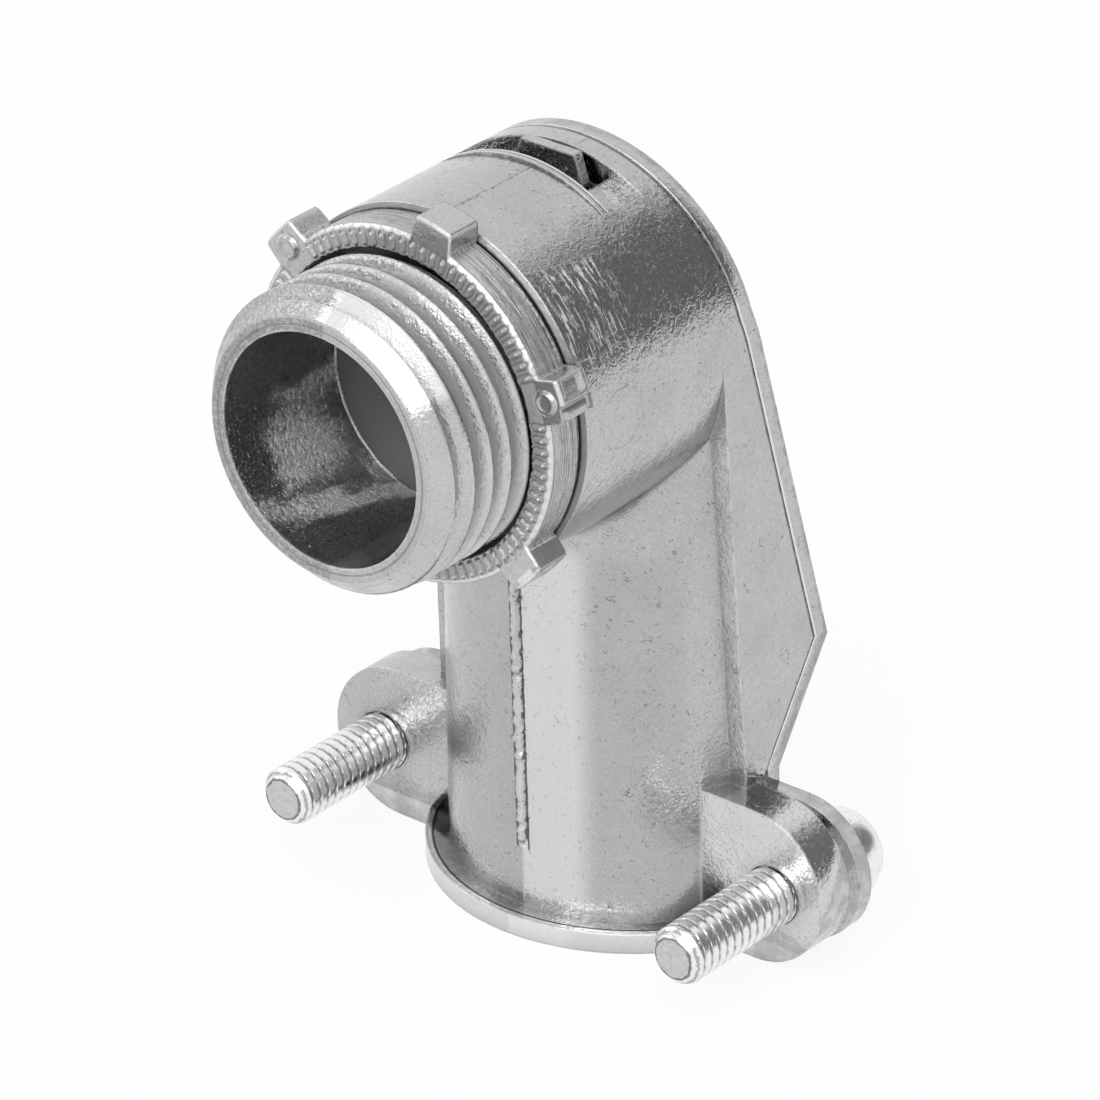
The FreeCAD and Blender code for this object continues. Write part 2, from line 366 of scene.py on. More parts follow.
def mark_thread(skin, angle, out, y):
    """Painted highlight on the crests of the nose's cast thread, painted shade in its grooves and along each
    crest's back edge.
    """
    n = skin.n
    turns = n.math("DIVIDE", n.math("SUBTRACT", y, nose_tip - nose_pitch), nose_pitch)
    turns = n.math("SUBTRACT", turns, n.math("DIVIDE", angle, 2 * math.pi))
    phase = n.math("SUBTRACT", n.math("FRACT", n.math("ADD", turns, 0.25)), 0.5)
    ragged = n.product(n.centred(n.noise(0.5 * MM, 3.0, 0.6)), 0.12)
    loose = n.math("ADD", phase, ragged)
    outside = n.ramp(out, bore_radius + 0.9 * MM, bore_radius + 1.1 * MM)
    here = n.product(outside, n.band(y, nose_tip + 1.3 * MM, neck_front - 0.2 * MM, 0.1 * MM))
    # The first crest runs on from the chamfer
    first = n.fall(n.math("ADD", turns, 0.25), 2.50, 2.54)
    later = n.inverse(first)
    sparkle = n.ramp(n.noise(0.13 * MM, 3.0, 0.7), 0.30, 0.62, 0.35, 1.0)
    # Painted highlight on each crest and just in front of it, weaker towards the sides; painted shade in the
    # grooves and as a thin line along each crest's back edge
    upper_highlight = n.product(here, later, n.band(loose, -0.09, 0.02, 0.09), sparkle)
    groove_shade = n.product(here, later, n.ramp(n.math("ABSOLUTE", phase), 0.16, 0.30))
    line = n.product(here, n.band(loose, 0.05, nose_crest_share + 0.03, 0.02))
    skin.tint(n.product(groove_shade, 0.6), 0.38)
    skin.tint(n.product(upper_highlight, n.ramp(n.math("ABSOLUTE", angle), 0.95, 1.35, 0.66, 0.36)), 0.82)
    skin.tint(n.product(line, 0.80), 0.05)
    skin.worn = n.product(skin.worn, n.inverse(line))
    skin.metal = n.math("SUBTRACT", skin.metal, n.product(groove_shade, 0.65))
    # The chamfer at the tip is a little lighter all round, with a painted highlight on its upper right
    chamfer = n.product(
        outside, n.band(y, nose_tip + 0.12 * MM, nose_tip + 3.0 * MM, 0.05 * MM), first,
    )
    skin.tint(n.product(chamfer, 0.18), 0.80)
    skin.tint(n.product(chamfer, n.band(angle, 0.05, 0.95, 0.10), 0.80), 0.90)
    # Painted crevice shade on the nose is cut back in front of the locknut; only the gap inside it keeps it all
    shallow = n.product(n.fall(y, nut_face - 0.3 * MM, nut_face - 0.1 * MM), outside)
    skin.crevice_shade = n.product(skin.crevice_shade, n.inverse(n.product(shallow, 0.8)))


def mark_bore(skin, angle, out, y):
    """The rough bore: dark and glossy, with painted highlights as pale patches drawn out along the nose."""
    n = skin.n
    inside = n.product(
        n.fall(out, bore_radius + 0.05 * MM, bore_radius + 0.2 * MM),
        n.fall(y, bore_end - 0.15 * MM, bore_end - 0.05 * MM),
    )
    long_place = n.around(angle, n.math("MULTIPLY", y, 0.35), 8 * MM)
    drift = n.centred(n.noise(1.5 * MM, 4.0, 0.6, place=long_place))
    # Angles from the top in degrees
    turned = n.math("ADD", n.math("MULTIPLY", angle, per_radian), n.product(drift, 26.0))
    along = n.math("ADD", y, n.product(drift, 5 * MM))
    patch = n.product(
        n.band(turned, -131.0, -114.0, 15.0), n.band(along, -26.0 * MM, -23.8 * MM, 3.0 * MM),
    )
    slant = n.math("ADD", turned, n.math("MULTIPLY", n.math("SUBTRACT", y, -30.6 * MM), 2.1 / MM))
    streak = n.product(
        n.band(slant, -144.0, -139.0, 8.0), n.ramp(y, -31.0 * MM, -25.0 * MM, 0.4, 1.0),
    )
    upper_highlight = n.product(
        n.band(turned, -102.0, -94.0, 7.0), n.band(along, -25.0 * MM, -20.0 * MM, 3.0 * MM), 0.5,
    )
    grain = n.ramp(n.noise(0.34 * MM, 3.0, 0.7, distortion=1.0), 0.34, 0.66, 0.35, 1.0)
    # Painted highlights: pale, less metallic patches and streaks on the bore's wall
    pale = n.product(inside, n.most(patch, streak, upper_highlight), grain)
    skin.tint(n.product(inside, 0.15), 0.75)
    skin.tint(pale, 0.86)
    skin.bump(n.product(pale, grain), 0.10 * MM)
    # Painted light on the chamber behind it, but not on the cover's outer face, which looks backwards
    facing = n.add("ShaderNodeSeparateXYZ", {0: n.add("ShaderNodeNewGeometry").outputs["Normal"]})
    chamber = n.product(
        n.fall(out, chamber_radius - 0.1 * MM, chamber_radius),
        n.ramp(y, bore_end + 0.1 * MM, bore_end + 0.3 * MM),
        n.fall(facing.outputs[1], 0.2, 0.4),
    )
    skin.tint(n.product(chamber, 0.6), 0.85)
    unmetal = n.math("ADD", n.product(pale, 0.85), n.product(chamber, 0.55))
    skin.metal = n.math("SUBTRACT", skin.metal, unmetal)
    skin.rough = n.math("ADD", skin.rough, n.product(inside, n.ramp(pale, 0.0, 0.6, 0.06, 0.30)))


def mark_seam(skin, y, z):
    """A dark line where the cover meets the casting, with a painted highlight just behind it."""
    n = skin.n

    def line_at(y0, z0, y1, z1):
        slope = (y1 - y0) / (z1 - z0)
        return n.math("MULTIPLY_ADD", z, slope, (y0 - slope * z0) * MM)

    top, middle, low = (line_at(*a, *b) for a, b in zip(seam_points, seam_points[1:]))
    past = n.math("SUBTRACT", y, n.math("MINIMUM", low, n.most(top, middle)))
    loose = n.math("ADD", past, n.wander(0.5 * MM, 0.07 * MM))
    # The cover's outer edge rolls over towards its back
    roll = n.math("MAXIMUM", n.math("DIVIDE", past, seam_wall), 0.0)
    skin.bump(n.product(roll, roll, -1.0), 0.30 * MM)
    high = n.ramp(z, 12.0 * MM, 13.2 * MM)
    # Painted highlight in a thin band just behind the seam, high on the cover
    skin.tint(n.product(high, n.band(loose, 0.12 * MM, 0.26 * MM, 0.06 * MM), 0.65), 0.88)
    skin.tint(n.product(high, n.band(past, -0.10 * MM, 0.06 * MM, 0.05 * MM), 0.80), 0.05)


def mark_slot(skin, angle, out, y):
    """Painted shade lines along both edges of the low ridge in front of the slot, and a painted highlight line on
    it.
    """
    n = skin.n
    on_top = n.product(n.band(angle, *slot_ridge_ends, 0.01), n.ramp(out, 12.4 * MM, 12.5 * MM))
    loose = n.math("ADD", y, n.wander(0.8 * MM, 0.05 * MM))
    skin.tint(n.product(on_top, n.band(loose, *slot_ridge_front, 0.04 * MM), 0.75), 0.06)
    skin.tint(n.product(on_top, n.band(loose, *slot_ridge_back, 0.04 * MM), 0.55), 0.08)
    skin.tint(n.product(on_top, n.band(y, *slot_ridge_highlight, 0.03 * MM), 0.70), 0.90)


def casting_metal():
    skin = Skin(
        "cast_zinc", light=0.54, dark=0.34, gloss=(0.07, 0.17),
        edge_radius=0.26 * MM, reach=1.5 * MM,
    )
    n = skin.n
    angle, out, y = n.round_nose()
    x, _, z = n.parts()
    from_socket = n.distance(x, y)
    # Either side of the mould's parting plane the finish differs
    right = n.ramp(x, *parting_band)
    on_nose = n.fall(y, -22.0 * MM, -21.5 * MM)
    skin.peel(n.inverse(n.product(on_nose, right, 0.55)))
    # The tube is a shade darker all over, with a painted reflection: a pale vertical stripe just right of the
    # parting line
    on_tube = n.product(n.fall(z, 28.0 * MM, 30.0 * MM), n.fall(y, -8.0 * MM, -7.0 * MM))
    skin.tint(n.product(on_tube, 0.30), 0.36)
    skin.tint(n.product(on_tube, n.band(x, 0.75 * MM, 4.2 * MM, 1.9 * MM), right, 0.58), 0.80)
    corner = n.product(
        n.fall(from_socket, 12.8 * MM, 12.9 * MM), n.ramp(x, 6.0 * MM, 9.0 * MM),
        n.fall(z, 6.0 * MM, 11.0 * MM),
    )
    grit = n.centred(n.noise(0.24 * MM, 2.0, 0.6))
    skin.bump(n.product(grit, on_nose, n.inverse(n.product(right, 0.75))), 0.12 * MM)
    # The barrel's front edge is duller and painted dark as shade behind the locknut; the ears get painted light on
    # their front and end faces, the right ear most; the flange's rim is lighter
    at_shoulder = n.band(y, shoulder_y, shoulder_y + 0.2 * MM, 0.06 * MM)
    skin.tint(n.product(at_shoulder, 0.65), 0.12)
    skin.rough = n.math("ADD", skin.rough, n.product(at_shoulder, 0.30))
    ear = n.product(n.fall(z, 11.0 * MM, 12.5 * MM), n.ramp(x, -1.0 * MM, 1.0 * MM, 0.12, 1.0))
    ear_face = n.product(
        n.band(y, ear_front_y - 0.04 * MM, ear_front_y + 0.04 * MM, 0.03 * MM),
        n.ramp(n.math("ABSOLUTE", x), 8.0 * MM, 9.0 * MM),
    )
    ear_end = n.ramp(n.math("ABSOLUTE", x), 12.75 * MM, 12.95 * MM)
    skin.tint(n.product(ear, n.most(ear_face, n.product(ear_end, 0.9)), 0.42), 0.85)
    on_rim = n.product(
        n.ramp(from_socket, 13.6 * MM, 13.9 * MM), n.fall(z, flange_top, flange_top + 0.2 * MM),
    )
    skin.tint(n.product(on_rim, 0.60), 0.85)
    # Machined step round the mouth, with painted shade in it
    at_tip = n.fall(y, nose_tip + 0.05 * MM, nose_tip + 0.15 * MM)
    step = n.product(
        at_tip, n.band(out, bore_radius + 0.44 * MM, bore_radius + 0.52 * MM, 0.05 * MM),
    )
    skin.bump(n.product(step, -1.0), 0.10 * MM)
    skin.tint(n.product(step, 0.40), 0.10)
    dull = n.product(on_nose, n.inverse(right))
    skin.tint(n.product(dull, n.ramp(n.noise(0.30 * MM, 2.0, 0.6), 0.35, 0.60, 0.15, 0.60)), 0.20)
    mark_thread(skin, angle, out, y)
    mark_bore(skin, angle, out, y)
    skin.metal = n.math("SUBTRACT", skin.metal, n.product(corner, 0.6))
    # A thin step round the ledge of the flange, drawn as a painted shade line and a painted highlight line
    on_ledge = n.product(n.ramp(z, 1.42 * MM, 1.47 * MM), n.fall(z, 1.55 * MM, 1.6 * MM))
    step_dark = n.band(from_socket, 13.72 * MM, 13.84 * MM, 0.04 * MM)
    step_highlight = n.band(from_socket, 13.94 * MM, 14.06 * MM, 0.04 * MM)
    skin.tint(n.product(on_ledge, step_dark, 0.9), 0.04)
    skin.tint(n.product(on_ledge, step_highlight, 0.8), 0.90)
    # Painted shade lines run down both sides of the flash on the tube, and a painted highlight along its back
    flash = n.math("SUBTRACT", x, n.math("MULTIPLY_ADD", z, tube_flash_lean, tube_flash_foot))
    from_flash = n.math("ABSOLUTE", n.math("ADD", flash, n.wander(0.7 * MM, 0.12 * MM)))
    along_flash = n.product(on_tube, n.band(z, 6.0 * MM, 26.8 * MM, 0.3 * MM))
    flash_side_shade = n.band(from_flash, 0.40 * MM, 0.50 * MM, 0.05 * MM)
    skin.tint(n.product(along_flash, flash_side_shade, 0.85), 0.06)
    skin.tint(n.product(along_flash, n.fall(from_flash, 0.12 * MM, 0.30 * MM), 0.45), 0.85)
    mark_seam(skin, y, z)
    mark_slot(skin, angle, out, y)
    # Scratches round the barrel, where it has been rubbed
    fine = n.noise(0.34 * MM, 4.0, 0.75, place=n.around(angle, y, 1.7 * MM))
    on_barrel = n.product(
        n.band(out, 12.4 * MM, 12.8 * MM, 0.1 * MM), n.band(y, -19.6 * MM, -5.0 * MM, 0.6 * MM),
    )
    patchy = n.ramp(n.noise(2.4 * MM, 2.0, 0.5), 0.40, 0.62, 0.25, 1.0)
    where = n.product(
        on_barrel, n.band(angle, 0.84, 1.04, 0.24), n.band(y, -18.4 * MM, -16.0 * MM, 3.0 * MM),
        patchy,
    )
    scratch = n.product(n.ramp(fine, 0.53, 0.66), where)
    skin.bump(scratch, 0.09 * MM)
    skin.tint(n.product(scratch, 0.55), 0.82)
    # Painted highlight: pale worm-like streaks in a band round the barrel's upper right
    worms = n.ramp(n.noise(0.46 * MM, 2.0, 0.6, distortion=2.5), 0.56, 0.63)
    skin.tint(n.product(worms, on_barrel, n.band(angle, 0.74, 1.10, 0.14), 0.34), 0.80)
    return skin.finish(edge_share=0.65, edge_level=0.88, crevice_shade_share=0.65, crevice_shade_level=0.07)


def nut_metal():
    skin = Skin(
        "locknut_zinc", light=0.58, dark=0.38, gloss=(0.18, 0.32),
        edge_radius=0.12 * MM, reach=0.6 * MM,
    )
    skin.peel(0.7)
    n = skin.n
    angle, out, y = n.round_nose()
    degrees = n.math("MULTIPLY", angle, per_radian)
    off_pip = n.math("WRAP", n.math("SUBTRACT", degrees, first_pip), pip_every / 2, -pip_every / 2)
    off_rib = n.math("DIVIDE", n.math("WRAP", off_pip, rib_pitch / 2, -rib_pitch / 2), rib_pitch)
    ribbed = n.product(
        n.ramp(n.math("ABSOLUTE", off_pip), clear_of_pip, clear_of_pip + 0.05 * rib_pitch),
        n.fall(y, nut_face + 0.12 * MM, nut_face + 0.2 * MM),
    )
    moat = n.product(
        ribbed, n.band(off_rib, -0.36, 0.36, 0.05),
        n.band(out, rib_field_inner, 11.86 * MM, 0.04 * MM),
    )
    bar = n.product(
        ribbed, n.band(off_rib, -0.19, 0.19, 0.05), n.band(out, 10.98 * MM, 11.74 * MM, 0.05 * MM),
    )
    dot = n.product(
        ribbed, n.band(off_rib, -0.08, 0.08, 0.06), n.band(out, 11.58 * MM, 11.70 * MM, 0.06 * MM),
    )
    # Painted shade in the moat round each rib; the bars themselves are darker
    skin.tint(n.product(n.math("SUBTRACT", moat, bar), 0.35), 0.16)
    skin.tint(n.product(bar, 0.30), 0.42)
    ring = n.product(
        n.band(out, rib_field_inner, 11.90 * MM, 0.1 * MM),
        n.fall(y, nut_face + 0.3 * MM, nut_face + 0.4 * MM),
    )
    skin.metal = n.math("SUBTRACT", 0.86, n.product(ring, 0.45))
    skin.crevice_shade = n.product(skin.crevice_shade, n.inverse(n.product(ring, 0.6)))
    # Painted glint on the outer end of each rib
    skin.tint(dot, 0.98)
    # Painted highlight along the bevel at the front of the rim
    bevel = n.product(
        n.ramp(out, nut_radius - 0.34 * MM, nut_radius - 0.26 * MM),
        n.band(y, nut_face + 0.05 * MM, nut_face + 0.22 * MM, 0.03 * MM),
    )
    skin.tint(n.product(bevel, 0.6), 0.92)
    # Marks drawn round the outer wall
    lines = n.noise(0.20 * MM, 3.0, 0.65, place=n.around(angle, y, 0.5 * MM))
    wall = n.product(
        n.ramp(out, nut_radius - 0.12 * MM, nut_radius - 0.04 * MM),
        n.fall(out, nut_radius + 0.1 * MM, nut_radius + 0.3 * MM),
        n.ramp(y, nut_face + 0.24 * MM, nut_face + 0.34 * MM),
    )
    skin.bump(n.product(lines, wall), 0.14 * MM)
    skin.tint(n.product(wall, n.fall(lines, 0.40, 0.52), 0.55), 0.20)
    # The sunk mark on one lug is pale
    pale = n.product(
        n.band(degrees, sunk_mark_angle - 3.0, sunk_mark_angle + 3.0, 0.5),
        n.ramp(out, nut_radius + 0.9 * MM, nut_radius + 1.1 * MM),
    )
    skin.tint(n.product(pale, 0.6), 0.90)
    return skin.finish(edge_share=0.85, edge_level=0.92, crevice_shade_share=0.45, crevice_shade_level=0.07)


def screw_metal():
    skin = Skin(
        "plated_steel", light=0.92, dark=0.74, gloss=(0.14, 0.28),
        edge_radius=0.06 * MM, reach=0.3 * MM,
    )
    skin.peel(0.3)
    n = skin.n
    # The cut end is dull, with a dark outline
    x, y, z = n.parts()
    low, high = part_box("screw_left")
    sideways = n.math("SUBTRACT", n.math("ABSOLUTE", x), abs(low.x + high.x) / 2)
    upwards = n.math("SUBTRACT", z, (low.z + high.z) / 2)
    out = n.distance(sideways, upwards)
    at_end = n.fall(y, low.y + 0.03 * MM, low.y + 0.08 * MM)
    skin.tint(n.product(at_end, n.ramp(n.noise(0.3 * MM, 4.0, 0.7), 0.35, 0.65, 0.60, 0.85)), 0.46)
    loose = n.math("ADD", out, n.wander(0.5 * MM, 0.20 * MM))
    near_end = n.fall(y, low.y + 0.62 * MM, low.y + 0.72 * MM)
    skin.tint(n.product(near_end, n.band(loose, 1.40 * MM, 1.52 * MM, 0.04 * MM), 0.75), 0.08)
    skin.tint(n.product(near_end, n.band(loose, 1.80 * MM, 1.90 * MM, 0.05 * MM), 0.55), 0.12)
    return skin.finish(edge_share=0.3, edge_level=0.95, crevice_shade_share=0.75, crevice_shade_level=0.06)


zinc = casting_metal()
nut_zinc = nut_metal()
steel = screw_metal()


def dress_nodes():
    for name in ("body_casting", "back_cover"):
        for material_slot in frame["nodes"][name].material_slots:
            material_slot.material = zinc


def screw_profile(turn):
    """Thread height from 0 at the root to 1 at the crest, over one pitch."""
    rise = 1.0 - abs(turn % 1.0 - 0.5) * 2.0
    return smooth_step(rise, 0.02, 0.34)


def cut_slot(piece, centre, turn):
    """The driver's slot across the head, at an angle about the screw."""
    half = (screw_slot_half_length, screw_slot_depth, screw_slot_width / 2)
    signs = [(a, b, c) for a in (-1, 1) for b in (-1, 1) for c in (-1, 1)]
    corners = [Vector([sign * size for sign, size in zip(corner, half)]) for corner in signs]
    turned = Matrix.Rotation(turn, 3, "Y")
    faces = [(0, 1, 3, 2), (4, 6, 7, 5), (0, 4, 5, 1), (2, 3, 7, 6), (0, 2, 6, 4), (1, 5, 7, 3)]
    box = mesh_from("cutter", [turned @ corner + centre for corner in corners], faces)
    cutter = bpy.data.objects.new("cutter", box)
    bpy.context.scene.collection.objects.link(cutter)
    modifier = piece.modifiers.new("slot", "BOOLEAN")
    modifier.object = cutter
    graph = bpy.context.evaluated_depsgraph_get()
    mesh = bpy.data.meshes.new_from_object(piece.evaluated_get(graph))
    piece.modifiers.clear()
    piece.data = mesh
    bpy.data.objects.remove(cutter)
    mesh.set_sharp_from_angle(angle=screw_sharp_angle)


def threaded_screw(name, node, body, slot_turn):
    """A slotted pan-head screw with its real thread, in place of the plain solid."""
    low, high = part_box(node)
    x = (low.x + high.x) / 2
    z = (low.z + high.z) / 2
    tip = low.y
    seat = high.y - screw_head_height
    around = 64
    along = 14
    rows = []

    def ring(y, radius_at):
        for i in range(around):
            turn = i / around
            angle = 2 * math.pi * turn
            radius = radius_at(turn)
            rows.append((x + radius * math.cos(angle), y, z + radius * math.sin(angle)))

    steps = int((seat - tip) / screw_pitch * along)
    for k in range(steps + 1):
        y = tip + (seat - tip) * k / steps
        limit = screw_major_radius - screw_tip_chamfer + (y - tip)

        def thread(turn, y=y, limit=limit):
            lift = screw_profile((y - tip) / screw_pitch - turn)
            return min(limit, screw_major_radius - screw_thread_depth * (1.0 - lift))

        ring(y, thread)
    for radius, rise in screw_head_outline:
        ring(seat + rise * MM, lambda turn, radius=radius: radius * MM)
    faces = grid_faces(len(rows) // around, around, closed_columns=True)
    faces.append(tuple(range(around - 1, -1, -1)))
    faces.append(tuple(range(len(rows) - around, len(rows))))
    piece = link(name, mesh_from(name, rows, faces), body, steel)
    cut_slot(piece, Vector((x, high.y, z)), slot_turn)
    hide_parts(node)


def lug_lift(angle):
    """0 between the lugs, 1 over a lug, for an angle in degrees clockwise from the top."""
    step = 360.0 / nut_lugs
    off = abs((angle - nut_first_lug + step / 2) % step - step / 2)
    return 1.0 - smooth_step(off, lug_top_angle, lug_foot_angle)


def face_height(angle, radius):
    """Height of the cast marks on the locknut's front face, in millimetres."""
    off_pip = (angle - first_pip + pip_every / 2) % pip_every - pip_every / 2
    from_pip = math.hypot(math.radians(off_pip) * radius, radius - pip_centre_radius) / pip_radius
    height = 0.20 * (1.0 - smooth_step(from_pip, 0.92, 1.08))
    height -= 0.09 * (1.0 - smooth_step(from_pip, 0.55, 0.80))
    height -= 0.07 * smooth_step(from_pip, 1.0, 1.12) * (1.0 - smooth_step(from_pip, 1.15, 1.35))
    if abs(off_pip) > clear_of_pip:
        off = (off_pip + rib_pitch / 2) % rib_pitch - rib_pitch / 2
        across = abs(math.radians(off)) * radius
        beyond = max(0.0, rib_inner_radius - radius, radius - rib_outer_radius)
        from_rib = math.hypot(across, beyond) / rib_half_width
        height += 0.17 * (1.0 - smooth_step(from_rib, 0.55, 1.25))
        height -= 0.07 * smooth_step(from_rib, 1.1, 1.4) * (1.0 - smooth_step(from_rib, 1.5, 1.9))
        from_dot = math.hypot(across, radius - rib_outer_radius)
        height += 0.08 * (1.0 - smooth_step(from_dot, 0.03 * MM, 0.15 * MM))
    return height


def wall_height(angle, share):
    """Height of the marks on the lugs' outer faces, in millimetres; share runs front to back."""
    inside = smooth_step(share, 0.16, 0.22) * (1.0 - smooth_step(share, 0.76, 0.82))
    height = -0.22 * inside * (1.0 - smooth_step(abs(angle - sunk_mark_angle), 3.2, 3.9))
    height -= 0.26 * inside * (1.0 - smooth_step(abs(angle - small_mark_angle), 2.1, 2.7))
    first, last = notch_angles
    notch = smooth_step(angle, first, first + 0.9) * (1.0 - smooth_step(angle, last - 0.8, last))
    height -= 0.50 * notch
    ends = smooth_step(share, 0.05, 0.13) * (1.0 - smooth_step(share, 0.85, 0.93))
    height += 0.34 * ends * (1.0 - smooth_step(abs(angle - notch_bar_angle), 1.0, 1.8))
    return height


def locknut():
    """The cast locknut: hole, ribbed face, lugs and outer wall, as one skin run round the axis."""
    around = 1740
    face_steps = 32
    wall_steps = 14
    rows = []
    for i in range(around):
        angle = 360.0 * i / around
        turn = math.radians(angle)
        ring = Vector((math.cos(turn), math.sin(turn), 0.0))
        lift = lug_lift(angle)
        rim = nut_radius - 0.03 * MM + (nut_lug_radius - nut_radius) * lift
        rim += 0.03 * MM * noise.noise(ring * 9.0)
        mouth = nut_mouth_radius + 0.09 * MM * noise.noise(ring * 24.0)
        edge = rim - (0.32 - 0.14 * lift) * MM
        section = [
            (nut_hole_radius, nut_face + nut_thickness),
            (nut_hole_radius, nut_face + 0.9 * MM),
            (nut_hole_radius + 0.02 * MM, nut_face + 0.5 * MM),
            (mouth - 0.04 * MM, nut_face + 0.10 * MM),
        ]
        for k in range(face_steps + 1):
            radius = mouth + (edge - mouth) * k / face_steps
            section.append((radius, nut_face + (0.02 - face_height(angle, radius)) * MM))
        bevel = nut_face + (0.24 - 0.08 * lift) * MM
        back = nut_face + nut_thickness - 0.12 * MM
        for k in range(wall_steps + 1):
            share = k / wall_steps
            section.append((rim + wall_height(angle, share) * MM, bevel + (back - bevel) * share))
        section.append((rim - 0.16 * MM, nut_face + nut_thickness))
        columns = len(section)
        for radius, y in section:
            rows.append((radius * math.sin(turn), y, nose_height + radius * math.cos(turn)))
    faces = grid_faces(around, columns, closed_rows=True, closed_columns=True)
    piece = link("cast_locknut", mesh_from("cast_locknut", rows, faces), "nut", nut_zinc)
    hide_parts("locknut")


def crease_fillet():
    """The rounded inside corner where the barrel meets the tube below it, dying out at its ends."""
    across = 80
    turns = 10
    widest = 11.9 * MM
    rows = []
    for i in range(across + 1):
        x = widest * (2.0 * i / across - 1.0)
        reach = crease_round * (1.0 - smooth_step(abs(x), 9.0 * MM, 12.3 * MM))
        back = math.sqrt((tube_radius + reach) ** 2 - x * x)
        down = math.sqrt((barrel_radius + reach) ** 2 - x * x)
        centre = Vector((x, -back, nose_height - down))
        on_barrel = (Vector((0, centre.y, nose_height)) - centre).normalized()
        on_tube = (Vector((0, 0, centre.z)) - centre).normalized()
        for k in range(turns + 1):
            share = k / turns
            sink = 0.02 * MM * (1.0 - abs(2 * share - 1.0)) - 0.01 * MM
            rows.append(centre + on_barrel.slerp(on_tube, share) * (reach - sink))
    faces = grid_faces(across + 1, turns + 1)
    link("crease_fillet", mesh_from("crease_fillet", rows, faces), "body", zinc)


def bead(name, route, width, height, seed, blobs=0.6, body="body", material=None):
    """A thin uneven ridge of metal along a route of (point, outward) pairs."""
    rows = []
    for k, (point, outward) in enumerate(route):
        ahead = route[min(k + 1, len(route) - 1)][0] - route[max(k - 1, 0)][0]
        side = ahead.cross(outward).normalized()
        drift = noise.noise(Vector((k * 0.31, seed, 0.0)))
        swell = max(0.15, 0.7 + blobs * 1.5 * noise.noise(Vector((k * 0.43, seed, 4.0))))
        fade = smooth_step(min(k, len(route) - 1 - k), 0.0, 3.0)
        for j in range(bead_points):
            angle = math.pi * j / (bead_points - 1)
            half = width * 0.5 * (0.4 + 0.6 * fade) * (0.5 + 0.5 * swell)
            across = side * (math.cos(angle) * half + drift * width * 0.3)
            up = math.sin(angle) * height * swell * fade - 0.02 * MM
            rows.append(point + across + outward * up)
    faces = grid_faces(len(route), bead_points)
    link(name, mesh_from(name, rows, faces), body, material or zinc)


def parting_lines():
    """Flash where the two halves of the mould met: down the tube and over the barrel."""
    def down_tube(z0, z1, x0, x1, count):
        route = []
        for k in range(count + 1):
            share = k / count
            x = x0 + (x1 - x0) * share
            y = -math.sqrt(tube_radius ** 2 - x * x)
            route.append((Vector((x, y, z0 + (z1 - z0) * share)), Vector((x, y, 0)).normalized()))
        return route

    def over_barrel(y0, y1, x, count):
        route = []
        for k in range(count + 1):
            wander = x + 0.16 * MM * noise.noise(Vector((k * 0.12, 8.0, 0.0)))
            up = math.sqrt(barrel_radius ** 2 - wander ** 2)
            y = y0 + (y1 - y0) * k / count
            point = Vector((wander, y, nose_height + up))
            route.append((point, Vector((wander, 0, up)).normalized()))
        return route

    flash = down_tube(26.6 * MM, 6.1 * MM, 0.2 * MM, 0.65 * MM, 110)
    bead("tube_flash", flash, width=0.92 * MM, height=0.46 * MM, seed=1.0)
    below_flash = down_tube(6.3 * MM, 1.6 * MM, 0.65 * MM, 0.7 * MM, 24)
    bead("tube_line", below_flash, width=0.14 * MM, height=0.06 * MM, seed=2.0)
    to_slot = over_barrel(-19.6 * MM, -11.2 * MM, 0.9 * MM, 70)
    bead("barrel_line", to_slot, width=0.22 * MM, height=0.09 * MM, seed=3.0, blobs=0.9)
    behind_slot = over_barrel(-7.0 * MM, -5.6 * MM, 1.0 * MM, 16)
    bead("rim_line", behind_slot, width=0.14 * MM, height=0.07 * MM, seed=5.0)


def nose_ring():
    """The thin raised ring at the inner end of the nose's bore."""
    route = []
    steps = 144
    for k in range(steps + 1):
        turn = 2 * math.pi * k / steps
        outward = Vector((-math.sin(turn), 0, -math.cos(turn)))
        point = Vector((0, bore_end - 0.05 * MM, nose_height)) - outward * bore_radius
        route.append((point, outward))
    bead("bore_ring", route, width=0.34 * MM, height=0.18 * MM, seed=9.0, blobs=0.05)


def ejector_mark():
    """The thin raised ring that a mould pin left on the barrel's right side."""
    centre_y = -16.4 * MM
    centre_up = 0.3 * MM
    radius = 2.05 * MM
    route = []
    steps = 72
    for k in range(steps + 1):
        turn = 2 * math.pi * k / steps
        y = centre_y + radius * math.cos(turn)
        lean = (centre_up + radius * math.sin(turn)) / barrel_radius
        outward = Vector((math.cos(lean), 0, math.sin(lean)))
        route.append((Vector((0, y, nose_height)) + outward * barrel_radius, outward))
    bead("ejector_ring", route, width=0.18 * MM, height=0.06 * MM, seed=7.0)


def nut_flash():
    """Uneven flash along the back edge of the locknut, between two of its lugs."""
    route = []
    steps = 69
    start, sweep = 34.0, 30.0
    for k in range(steps + 1):
        turn = math.radians(start + sweep * k / steps)
        outward = Vector((math.sin(turn), 0, math.cos(turn)))
        centre = Vector((0, nut_face + nut_thickness - 0.32 * MM, nose_height))
        route.append((centre + outward * nut_radius, outward))
    bead(
        "nut_flash", route, width=0.22 * MM, height=0.10 * MM, seed=6.0, blobs=0.9,
        body="nut", material=nut_zinc,
    )


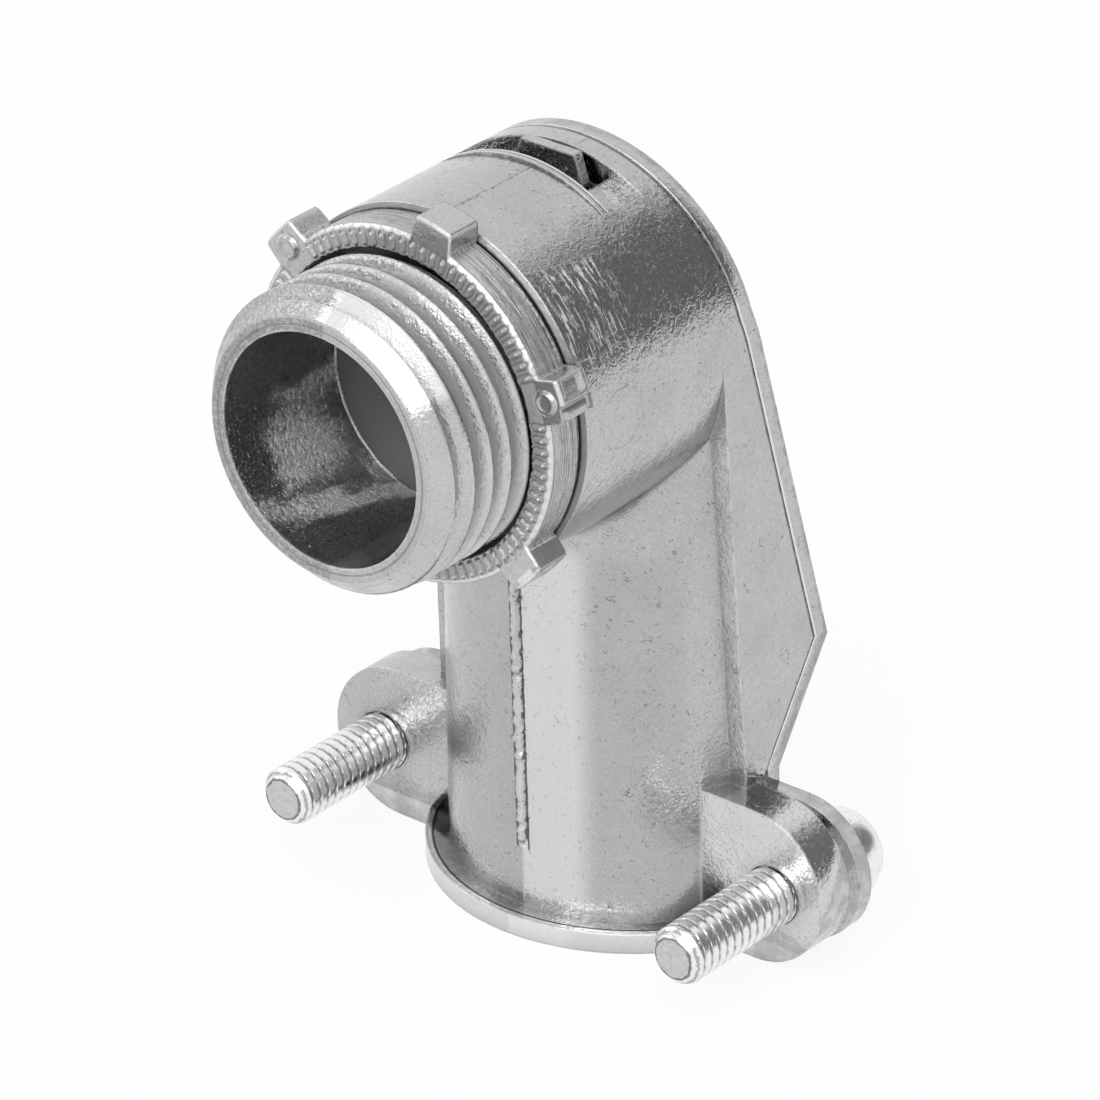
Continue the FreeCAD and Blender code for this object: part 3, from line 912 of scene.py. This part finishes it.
def set_camera():
    """The camera at the photograph's angle and distance, fitted to points of the object."""
    azimuth = math.radians(39.722)
    elevation = math.radians(27.876)
    roll = math.radians(-0.688)
    distance = 502.51 * MM
    across = 5.367 * MM
    down = -17.723 * MM
    back = Vector((
        math.sin(azimuth) * math.cos(elevation),
        -math.cos(azimuth) * math.cos(elevation),
        math.sin(elevation),
    ))
    level = Vector((math.cos(azimuth), math.sin(azimuth), 0.0))
    upright = back.cross(level)
    right = level * math.cos(roll) + upright * math.sin(roll)
    up = upright * math.cos(roll) - level * math.sin(roll)
    data = bpy.data.cameras.new("camera")
    data.lens = 250.83
    data.sensor_width = 36.0
    data.clip_start = 0.01
    data.clip_end = 20.0
    camera = bpy.data.objects.new("camera", data)
    bpy.context.scene.collection.objects.link(camera)
    turned = Matrix((right, up, back)).transposed().to_4x4()
    place = Vector((0, 0, nose_height)) + back * distance - right * across + up * down
    camera.matrix_world = Matrix.Translation(place) @ turned
    bpy.context.scene.camera = camera


def soft_box(name, toward, distance, size, radiance):
    """A round area lamp seen in a given direction, as bright as a card of that radiance."""
    aim = Vector((0.0, -8.0 * MM, 30.0 * MM))
    data = bpy.data.lights.new(name, "AREA")
    data.shape = "DISK"
    data.size = size
    data.energy = radiance * math.pi * math.pi * (size / 2) ** 2
    lamp = bpy.data.objects.new(name, data)
    bpy.context.scene.collection.objects.link(lamp)
    lamp.location = aim + Vector(toward).normalized() * distance
    lamp.rotation_euler = (aim - lamp.location).to_track_quat("-Z", "Y").to_euler()


def set_light():
    soft_box("key", toward=(0.285, -0.60, 0.746), distance=0.9, size=0.90, radiance=2.3)
    soft_box("left", toward=(-0.85, -0.25, 0.55), distance=0.9, size=0.45, radiance=1.2)


def set_world():
    world = bpy.data.worlds.new("studio")
    bpy.context.scene.world = world
    world.use_nodes = True
    n = Tree(world.node_tree)
    n.tree.nodes.clear()
    place = n.add("ShaderNodeTexCoord").outputs["Generated"]
    # Pale all round, but for the unlit end of the room, low behind the object on its right
    agree = n.dot(place, Vector(unlit_side).normalized())
    shade = n.ramp(agree, 0.74, 0.93, 1.0, unlit_level)
    seen = n.add("ShaderNodeBackground", {"Color": shade, "Strength": 1.0})
    lit = n.add("ShaderNodeBackground", {"Color": white, "Strength": room_light})
    mix = n.add("ShaderNodeMixShader", {0: n.seen(), 1: lit.outputs[0], 2: seen.outputs[0]})
    n.add("ShaderNodeOutputWorld", {"Surface": mix.outputs[0]})


def set_floor():
    """A white floor: mostly seen as white as it is, with a share that takes the shadow."""
    n = Nodes("floor_paint")
    n.shader.inputs["Base Color"].default_value = floor_grey
    n.shader.inputs["Roughness"].default_value = 0.9
    glow = n.add("ShaderNodeEmission", {"Color": white, "Strength": 1.0})
    share = n.product(n.seen(), floor_seen_share)
    mix = n.add("ShaderNodeMixShader", {0: share, 1: n.shader.outputs[0], 2: glow.outputs[0]})
    n.feed(n.tree.nodes["Material Output"].inputs["Surface"], mix.outputs[0])
    side = floor_half_side
    corners = [(-side, -side, 0), (side, -side, 0), (side, side, 0), (-side, side, 0)]
    mesh = mesh_from("floor", corners, [(0, 1, 2, 3)])
    mesh.materials.append(n.material)
    floor = bpy.data.objects.new("floor", mesh)
    bpy.context.scene.collection.objects.link(floor)


dress_nodes()
threaded_screw("clamp_screw_left", "screw_left", "left_screw", math.radians(25))
threaded_screw("clamp_screw_right", "screw_right", "right_screw", math.radians(70))
locknut()
crease_fillet()
parting_lines()
nose_ring()
ejector_mark()
nut_flash()
set_camera()
set_light()
set_world()
set_floor()
bpy.context.scene.view_settings.view_transform = "Standard"
